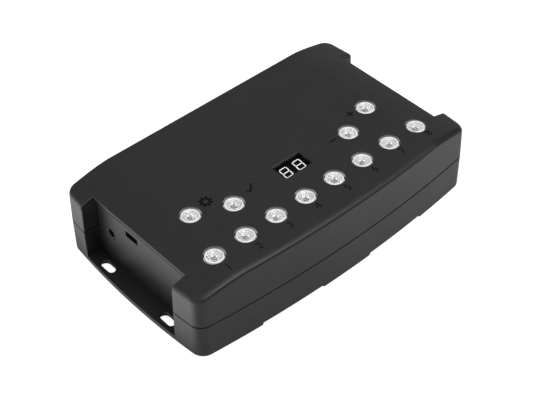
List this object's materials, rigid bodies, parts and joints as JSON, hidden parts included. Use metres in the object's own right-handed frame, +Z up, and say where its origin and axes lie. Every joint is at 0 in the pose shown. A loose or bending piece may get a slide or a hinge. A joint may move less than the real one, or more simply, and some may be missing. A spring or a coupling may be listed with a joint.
{
  "type": "standalone dmx player",
  "caption": "Bowed plastic desktop case with clear push keys, a small numeric display and recessed connector ends, for playing stored lighting scenes",
  "frame": {"origin": "On the base, in the middle of the case's overall length and depth", "axes": "+X runs along the case towards the end with the round socket, +Y from the bowed key side to the straight back, +Z up out of the base"},
  "size_m": [0.165, 0.097, 0.0395],
  "materials": {
    "case_plastic": "fine matte black moulded plastic",
    "clear_plastic": "clear polished plastic",
    "board_green": "green solder mask",
    "black_resin": "moulded black resin",
    "grey_resin": "moulded grey resin",
    "plated_steel": "bright plated steel",
    "screw_steel": "blackened steel"
  },
  "bodies": {
    "case": {"board_screw_1": "screw_steel", "board_screw_2": "screw_steel", "board_screw_3": "screw_steel", "board_screw_4": "screw_steel", "bottom_shell": "case_plastic", "capacitor_1": "plated_steel", "capacitor_2": "plated_steel", "capacitor_3": "plated_steel", "case_screw_1": "screw_steel", "case_screw_2": "screw_steel", "case_screw_3": "screw_steel", "case_screw_4": "screw_steel", "circuit_board": "board_green", "crystal": "plated_steel", "display_body": "grey_resin", "display_socket_back": "black_resin", "display_socket_front": "black_resin", "dmx_socket_body": "black_resin", "dmx_socket_insert": "black_resin", "isolator_chip": "black_resin", "line_driver_chip": "black_resin", "memory_chip": "black_resin", "power_jack_body": "black_resin", "power_jack_pin": "plated_steel", "processor_chip": "black_resin", "switch_1": "black_resin", "switch_2": "black_resin", "switch_3": "black_resin", "switch_4": "black_resin", "switch_5": "black_resin", "switch_6": "black_resin", "switch_7": "black_resin", "switch_8": "black_resin", "switch_confirm": "black_resin", "switch_minus": "black_resin", "switch_plus": "black_resin", "switch_settings": "black_resin", "top_shell": "case_plastic", "usb_contact_block": "black_resin", "usb_socket_shell": "plated_steel", "voltage_regulator": "black_resin"},
    "key_1": {"key_1": "clear_plastic"},
    "key_2": {"key_2": "clear_plastic"},
    "key_3": {"key_3": "clear_plastic"},
    "key_4": {"key_4": "clear_plastic"},
    "key_5": {"key_5": "clear_plastic"},
    "key_6": {"key_6": "clear_plastic"},
    "key_7": {"key_7": "clear_plastic"},
    "key_8": {"key_8": "clear_plastic"},
    "key_confirm": {"key_confirm": "clear_plastic"},
    "key_minus": {"key_minus": "clear_plastic"},
    "key_plus": {"key_plus": "clear_plastic"},
    "key_settings": {"key_settings": "clear_plastic"}
  },
  "joints": [
    {"name": "key_1_press", "type": "slide", "parent": "case", "child": "key_1", "axis": [0, 0, -1], "range_m": [0, 0.00035], "stiffness_N_per_m": 4500},
    {"name": "key_2_press", "type": "slide", "parent": "case", "child": "key_2", "axis": [0, 0, -1], "range_m": [0, 0.00035], "stiffness_N_per_m": 4500},
    {"name": "key_3_press", "type": "slide", "parent": "case", "child": "key_3", "axis": [0, 0, -1], "range_m": [0, 0.00035], "stiffness_N_per_m": 4500},
    {"name": "key_4_press", "type": "slide", "parent": "case", "child": "key_4", "axis": [0, 0, -1], "range_m": [0, 0.00035], "stiffness_N_per_m": 4500},
    {"name": "key_5_press", "type": "slide", "parent": "case", "child": "key_5", "axis": [0, 0, -1], "range_m": [0, 0.00035], "stiffness_N_per_m": 4500},
    {"name": "key_6_press", "type": "slide", "parent": "case", "child": "key_6", "axis": [0, 0, -1], "range_m": [0, 0.00035], "stiffness_N_per_m": 4500},
    {"name": "key_7_press", "type": "slide", "parent": "case", "child": "key_7", "axis": [0, 0, -1], "range_m": [0, 0.00035], "stiffness_N_per_m": 4500},
    {"name": "key_8_press", "type": "slide", "parent": "case", "child": "key_8", "axis": [0, 0, -1], "range_m": [0, 0.00035], "stiffness_N_per_m": 4500},
    {"name": "key_confirm_press", "type": "slide", "parent": "case", "child": "key_confirm", "axis": [0, 0, -1], "range_m": [0, 0.00035], "stiffness_N_per_m": 4500},
    {"name": "key_minus_press", "type": "slide", "parent": "case", "child": "key_minus", "axis": [0, 0, -1], "range_m": [0, 0.00035], "stiffness_N_per_m": 4500},
    {"name": "key_plus_press", "type": "slide", "parent": "case", "child": "key_plus", "axis": [0, 0, -1], "range_m": [0, 0.00035], "stiffness_N_per_m": 4500},
    {"name": "key_settings_press", "type": "slide", "parent": "case", "child": "key_settings", "axis": [0, 0, -1], "range_m": [0, 0.00035], "stiffness_N_per_m": 4500}
  ]
}
